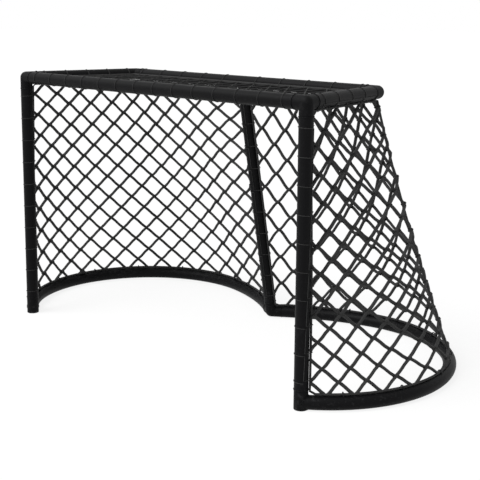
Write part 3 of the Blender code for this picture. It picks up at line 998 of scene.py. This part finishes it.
class HockeyGoalNetSettings(bpy.types.PropertyGroup):
    """Sizes and colours of the net and its fastening."""

    left_top: FloatVectorProperty(
        name="Left top",
        description="Column numbers at seven even places along the left net's top",
        size=7,
        default=(-0.97, 0.57, 2.16, 3.77, 5.37, 6.91, 8.36),
    )
    left_base: FloatVectorProperty(
        name="Left base",
        description="Column numbers at seven even places along the left net's base",
        size=7,
        default=(-2.80, -0.96, 1.39, 3.93, 6.35, 8.34, 9.60),
    )
    left_rows: FloatVectorProperty(
        name="Left rows",
        description="Rows down the left net at seven even places, from the post to the support",
        size=7,
        default=(10.04, 9.40, 9.01, 8.87, 9.00, 9.41, 10.11),
    )
    right_top: FloatVectorProperty(
        name="Right top",
        description="Column numbers at seven even places along the right net's top",
        size=7,
        default=(1.02, 2.11, 3.07, 4.10, 6.97, 9.65, 11.47),
    )
    right_base: FloatVectorProperty(
        name="Right base",
        description="Column numbers at seven even places along the right net's base",
        size=7,
        default=(-0.55, 2.34, 4.14, 5.33, 6.65, 8.26, 10.81),
    )
    right_rows: FloatVectorProperty(
        name="Right rows",
        description="Rows down the right net at seven even places, from the post to the support",
        size=7,
        default=(10.17, 10.17, 10.04, 9.23, 8.19, 7.56, 7.57),
    )
    first_rows: FloatVectorProperty(
        name="First rows",
        description="Row numbers at the top of the left and the right net",
        size=2,
        default=(-0.50, -0.219),
    )
    row_stretches: FloatVectorProperty(
        name="Row stretches",
        description="How much shorter rows grow on their way down the left and the right net",
        size=2,
        default=(-0.095, 0.025),
    )
    seam_thickness: FloatProperty(
        name="Seam rope", description="Thickness of the seam's rope", default=0.0115, unit="LENGTH"
    )
    seam_end: FloatProperty(
        name="Seam", description="Share of the base rail at which the seam ends", default=0.42
    )
    top_columns: IntProperty(
        name="Top columns", description="Diamonds along the top net", default=14, min=2
    )
    top_rows: IntProperty(
        name="Top rows", description="Diamonds from the crossbar to the rear bar", default=3, min=1
    )
    top_thickness: FloatProperty(
        name="Top cord", description="Thickness of the top net's cord", default=0.0050, unit="LENGTH"
    )
    cord_thickness: FloatProperty(
        name="Cord", description="Thickness of the lobe nets' cord", default=0.0150, unit="LENGTH"
    )
    border_thickness: FloatProperty(
        name="Border", description="Thickness of the border rope", default=0.0105, unit="LENGTH"
    )
    knot_share: FloatProperty(
        name="Knot", description="Thickness of a knot's turns as a share of the cord's", default=0.26
    )
    knot_turns: IntProperty(name="Knot turns", description="Turns of thin cord in a knot", default=5, min=1)
    crossing: FloatProperty(
        name="Crossing", description="How far apart cords cross, as a share of their thickness", default=0.5
    )
    rounding: FloatProperty(
        name="Rounding", description="How round the corners of a diamond are", default=0.28
    )
    lacing_thickness: FloatProperty(
        name="Lacing", description="Thickness of the lacing cord", default=0.0028, unit="LENGTH"
    )
    lacing_turns: IntProperty(
        name="Lacing turns", description="Turns of lacing down a post and along a lobe's shelf", default=10
    )
    lacing_advance: FloatProperty(
        name="Lacing step", description="Share of the way to the next turn that one climbs", default=0.1
    )
    staple_thickness: FloatProperty(
        name="Staple", description="Thickness of a staple's wire", default=0.0050, unit="LENGTH"
    )
    cord_colour: FloatVectorProperty(
        name="Cord colour", description="Net cord", subtype="COLOR", default=(0.003, 0.003, 0.003)
    )
    lacing_colour: FloatVectorProperty(
        name="Lacing colour", description="Lacing cord", subtype="COLOR", default=(0.006, 0.006, 0.0065)
    )


class HockeyGoalStageSettings(bpy.types.PropertyGroup):
    """The floor and the light."""

    floor_colour: FloatVectorProperty(
        name="Floor", description="Floor colour", subtype="COLOR", default=(0.92, 0.92, 0.92)
    )
    world_strength: FloatProperty(
        name="World", description="Strength of the even light from all round", default=0.45
    )
    lamp_power: FloatProperty(name="Lamp", description="Strength of the soft lamp", default=3.4)


class HOCKEYGOAL_OT_pipes(bpy.types.Operator):
    """Make the straight pipes: posts, crossbar, returns, rear bar and centre support"""

    bl_idname = "hockey_goal.pipes"
    bl_label = "Straight Pipes"

    def execute(self, context):
        trim = ARM_LENGTH
        for side, label in SIDES:
            top, corner = post_top(side), shelf_corner(side)
            base = at(side * POST_X, 0.0, 0.0)
            add_pipe(f"{label}_post", between(base, top, FOOT_HEIGHT, trim))
            add_pipe(f"{label}_top_return", between(top, corner, trim, trim))
        add_pipe("crossbar", between(post_top(-1), post_top(1), trim, trim))
        add_pipe("rear_bar", between(shelf_corner(-1), shelf_corner(1), trim, trim))
        support = between(notch(), rear_middle(), trim, 0.0)
        add_pipe("centre_support", support, (rear_middle(), ALONG_MOUTH))
        return {"FINISHED"}


class HOCKEYGOAL_OT_rails(bpy.types.Operator):
    """Make the two bent base rails, coped to the feet"""

    bl_idname = "hockey_goal.rails"
    bl_label = "Base Rails"

    def execute(self, context):
        for side, label in SIDES:
            foot = at(side * POST_X, 0.0, PIPE_RADIUS)
            add_pipe(f"{label}_base_rail", rail_route(side), (foot, UP))
        return {"FINISHED"}


class HOCKEYGOAL_OT_castings(bpy.types.Operator):
    """Make the ball castings that join the pipes, and the turned feet"""

    bl_idname = "hockey_goal.castings"
    bl_label = "Castings"

    def execute(self, context):
        finish = powder_coat("casting_paint", peel_scale=190.0, peel_depth=0.0009, dullness=0.08)
        for name, centre, arms in casting_plan():
            mesh = casting_mesh(name, centre, arms)
            add_piece(f"{name}_casting", mesh, finish, [name], ALL_SMOOTH)
        for side, label in SIDES:
            name, node = f"{label}_foot", f"{label}_post_foot"
            mesh = foot_mesh(name, at(side * POST_X, 0.0, 0.0))
            add_piece(f"{name}_casting", mesh, finish, [node], PIPE_EDGE)
        return {"FINISHED"}


class HOCKEYGOAL_OT_welds(bpy.types.Operator):
    """Lay a weld bead round each joint of the frame"""

    bl_idname = "hockey_goal.welds"
    bl_label = "Welds"

    def execute(self, context):
        drafts = {label: Draft() for label in ("left", "middle", "right")}
        for name, centre, arms in casting_plan():
            draft = drafts.get(name.split("_")[0], drafts["middle"])
            for arm in arms:
                bead(draft, joint_ring(centre + arm * ARM_LENGTH, arm))
        for side, label in SIDES:
            bead(drafts[label], joint_ring(at(side * POST_X, 0.0, FOOT_HEIGHT), UP))
            route = rail_route(side)
            bead(drafts[label], cope_ring(route[0], toward(route[0], route[1]), UP))
        along = toward(rear_middle(), notch())
        bead(drafts["middle"], cope_ring(rear_middle(), along, ALONG_MOUTH))
        finish = powder_coat("weld_paint", peel_scale=900.0, peel_depth=0.0002, dullness=-0.08)
        for label, draft in drafts.items():
            name = f"{label}_welds"
            add_piece(name, draft.mesh(name), finish, [], WELD_EDGE)
        return {"FINISHED"}


class HOCKEYGOAL_OT_lobe_nets(bpy.types.Operator):
    """Hang the net of each lobe from the shelf down to the base rail"""

    bl_idname = "hockey_goal.lobe_nets"
    bl_label = "Lobe Nets"

    def execute(self, context):
        settings = net_settings()
        top, base = net_top_path(), net_base_path()
        for k, (side, label) in enumerate(SIDES):

            def point_of(share, drop):
                return mirrored(lobe_net_point(top, base, share, drop), side)

            edges = [getattr(settings, f"{label}_{edge}") for edge in ("top", "base", "rows")]
            weave = Weave(point_of, *edges, settings.first_rows[k], settings.row_stretches[k])
            seams = []
            if label == "right":
                way = settings.seam_end - NET_CORNER
                drops = [step / SEAM_STEPS for step in range(SEAM_STEPS + 1)]
                seams.append([point_of(NET_CORNER + way * drop, drop) for drop in drops])
            nodes = [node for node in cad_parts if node.startswith(f"{label}_net_panel")]
            add_net(f"{label}_lobe_net", weave, settings.cord_thickness, nodes, seams)
        return {"FINISHED"}


class HOCKEYGOAL_OT_top_net(bpy.types.Operator):
    """Stretch the top net between the crossbar, the returns and the rear bar"""

    bl_idname = "hockey_goal.top_net"
    bl_label = "Top Net"

    def execute(self, context):
        settings = net_settings()
        edge = [settings.top_columns * k / 3 for k in range(4)]
        weave = Weave(top_net_point, edge, edge, [settings.top_rows] * 4)
        add_net("shelf_net", weave, settings.top_thickness, ["top_net"])
        return {"FINISHED"}


class HOCKEYGOAL_OT_lacing(bpy.types.Operator):
    """Wind the lacing cords round the pipes and the borders of the nets"""

    bl_idname = "hockey_goal.lacing"
    bl_label = "Lacing"

    def execute(self, context):
        settings = net_settings()
        top, base = net_top_path(), net_base_path()
        below = Vector((0.0, 0.0, -net_border()))

        def post_frame(share):
            border = lobe_net_point(top, base, 0.0, share)
            axis_point = at(POST_X, 0.0, border.z)
            return axis_point, UP, border - axis_point

        def shelf_frame(share):
            border = top.point(share)
            axis_point = Vector((border.x, min(border.y, REAR_Y), BAR_Z))
            return axis_point, top.direction(share), border - axis_point + below

        def crossbar_frame(share):
            x = (2 * share - 1) * top_net_half_width(net_border())
            return at(x, 0.0, BAR_Z), ALONG_MOUTH, BACK

        def support_frame(share):
            border = lobe_net_point(top, base, 1.0, share)
            return support_line(border.z), toward(notch(), rear_middle()), ALONG_MOUTH

        turns = middle_shares(settings.lacing_turns)
        return_turns = middle_shares(settings.lacing_turns // 2, 0.0, NET_CORNER)
        rear_turns = middle_shares(settings.lacing_turns // 2, NET_CORNER, 1.0)
        for side, label in SIDES:
            add_lacing(f"{label}_post_lacing", post_frame, turns, side)
            add_lacing(f"{label}_return_lacing", shelf_frame, return_turns, side, math.pi / 2)
            add_lacing(f"{label}_rear_lacing", shelf_frame, rear_turns, side, math.pi / 2)
        add_lacing("crossbar_lacing", crossbar_frame, middle_shares(settings.top_columns))
        add_lacing("support_lacing", support_frame, turns, second_net=math.pi)
        return {"FINISHED"}


class HOCKEYGOAL_OT_staples(bpy.types.Operator):
    """Bend the wire staples that hold the net's border down on the base rails"""

    bl_idname = "hockey_goal.staples"
    bl_label = "Staples"

    def execute(self, context):
        settings = net_settings()
        radius = settings.staple_thickness / 2
        bend = settings.border_thickness / 2 + STAPLE_CLEARANCE + radius
        bow = arc(Vector((0.0, 0.0)), bend, 0.0, math.pi, STAPLE_STEPS)
        base = net_base_path()
        count = sum(node.startswith("right_base_staple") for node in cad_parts)
        for side, label in SIDES:
            for number, share in enumerate(middle_shares(count), 1):
                border = base.point(share)
                across = UP.cross(base.direction(share))
                foot = (PIPE_RADIUS - border.z) * STAPLE_LEG
                places = [(bend, foot)] + bow + [(-bend, foot)]
                route = [mirrored(border + across * off + UP * up, side) for off, up in places]
                node = f"{label}_base_staple_{number}"
                mesh = tube_mesh(f"{node}_wire", route, radius, STAPLE_SIDES)
                add_piece(f"{node}_wire", mesh, black_wire("wire_black"), [node])
        return {"FINISHED"}


class HOCKEYGOAL_OT_stage(bpy.types.Operator):
    """Lay the floor, light it and set up the camera"""

    bl_idname = "hockey_goal.stage"
    bl_label = "Stage"

    def execute(self, context):
        self.lay_floor()
        self.light_world()
        self.hang_lamp()
        self.place_camera(context.scene)
        context.scene.view_settings.view_transform = "Standard"
        return {"FINISHED"}

    def lay_floor(self):
        corners = [(x * FLOOR_REACH, y * FLOOR_REACH, 0.0) for x, y in FLOOR_CORNERS]
        mesh = bpy.data.meshes.new("floor")
        mesh.from_pydata(corners, [], [(0, 1, 2, 3)])
        floor = linked("floor", mesh)
        floor.location.z = -FLOOR_DROP
        white = bpy.data.materials.new("floor_white")
        finish = Finish(white)
        finish.set("Base Color", (*stage_settings().floor_colour, 1.0))
        finish.set("Roughness", 0.9)
        finish.set("Specular IOR Level", 0.0)
        self.show_white(finish, "ShaderNodeEmission", "Material Output", FLOOR_WHITENESS)
        mesh.materials.append(white)

    def light_world(self):
        world = bpy.data.worlds.new("white_room")
        bpy.context.scene.world = world
        light = Finish(world, "Background")
        light.set("Color", WHITE)
        light.set("Strength", stage_settings().world_strength)
        self.show_white(light, "ShaderNodeBackground", "World Output", 1.0)

    def show_white(self, finish, glow_kind, ending, share):
        """Let the camera, and what mirrors or is clear, see white by this share."""
        camera, mirror, clear = (finish.node("ShaderNodeLightPath", output=ray) for ray in SEEN_RAYS)
        seen = finish.math("MINIMUM", camera + mirror + clear, 1.0)
        glow = finish.node(glow_kind, values={"Color": WHITE, "Strength": 1.0})
        plain = Socket(finish, finish.shader.outputs[0])
        mixed = finish.node("ShaderNodeMixShader", values={0: seen * share, 1: plain, 2: glow})
        finish.feed(finish.tree.nodes[ending].inputs["Surface"], mixed)

    def hang_lamp(self):
        lamp = bpy.data.lights.new("soft_lamp", "SUN")
        lamp.angle = LAMP_ANGLE
        lamp.energy = stage_settings().lamp_power
        holder = linked("soft_lamp", lamp)
        holder.location = LAMP_PLACE
        holder.rotation_euler = (-LAMP_PLACE).to_track_quat("-Z", "Y").to_euler()

    def place_camera(self, scene):
        camera = bpy.data.cameras.new("camera")
        camera.lens = CAMERA_LENS
        camera.sensor_width = SENSOR_WIDTH
        camera.shift_y = CAMERA_SHIFT
        camera.clip_end = FAR_CLIP
        turn = Matrix.Rotation(CAMERA_TURN, 4, "Z")
        dip = Matrix.Rotation(math.pi / 2 - CAMERA_DIP, 4, "X")
        roll = Matrix.Rotation(CAMERA_ROLL, 4, "Z")
        scene.camera = linked("camera", camera)
        scene.camera.matrix_world = Matrix.Translation(CAMERA_PLACE) @ turn @ dip @ roll


class HOCKEYGOAL_PT_panel(bpy.types.Panel):
    """Lists the pieces of the goal and their settings"""

    bl_idname = "HOCKEYGOAL_PT_panel"
    bl_label = "Hockey Goal"
    bl_space_type = "VIEW_3D"
    bl_region_type = "UI"
    bl_category = "Hockey Goal"

    def draw(self, context):
        layout = self.layout
        for operator in OPERATORS:
            layout.operator(operator.bl_idname)
        for name, kind in GROUPS.items():
            box = layout.box()
            for setting in kind.__annotations__:
                box.prop(getattr(context.scene, name), setting)


OPERATORS = (
    HOCKEYGOAL_OT_pipes,
    HOCKEYGOAL_OT_rails,
    HOCKEYGOAL_OT_castings,
    HOCKEYGOAL_OT_welds,
    HOCKEYGOAL_OT_lobe_nets,
    HOCKEYGOAL_OT_top_net,
    HOCKEYGOAL_OT_lacing,
    HOCKEYGOAL_OT_staples,
    HOCKEYGOAL_OT_stage,
)
GROUPS = {
    "hockey_goal_frame": HockeyGoalFrameSettings,
    "hockey_goal_net": HockeyGoalNetSettings,
    "hockey_goal_stage": HockeyGoalStageSettings,
}
CLASSES = (*GROUPS.values(), *OPERATORS, HOCKEYGOAL_PT_panel)


def register():
    for made in CLASSES:
        bpy.utils.register_class(made)
    for name, group in GROUPS.items():
        setattr(bpy.types.Scene, name, PointerProperty(type=group))


def unregister():
    for name in GROUPS:
        delattr(bpy.types.Scene, name)
    for made in reversed(CLASSES):
        bpy.utils.unregister_class(made)


def main():
    register()
    bpy.ops.hockey_goal.pipes()
    bpy.ops.hockey_goal.rails()
    bpy.ops.hockey_goal.castings()
    bpy.ops.hockey_goal.welds()
    bpy.ops.hockey_goal.lobe_nets()
    bpy.ops.hockey_goal.top_net()
    bpy.ops.hockey_goal.lacing()
    bpy.ops.hockey_goal.staples()
    bpy.ops.hockey_goal.stage()
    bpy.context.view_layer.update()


if __name__ == "__main__":
    main()
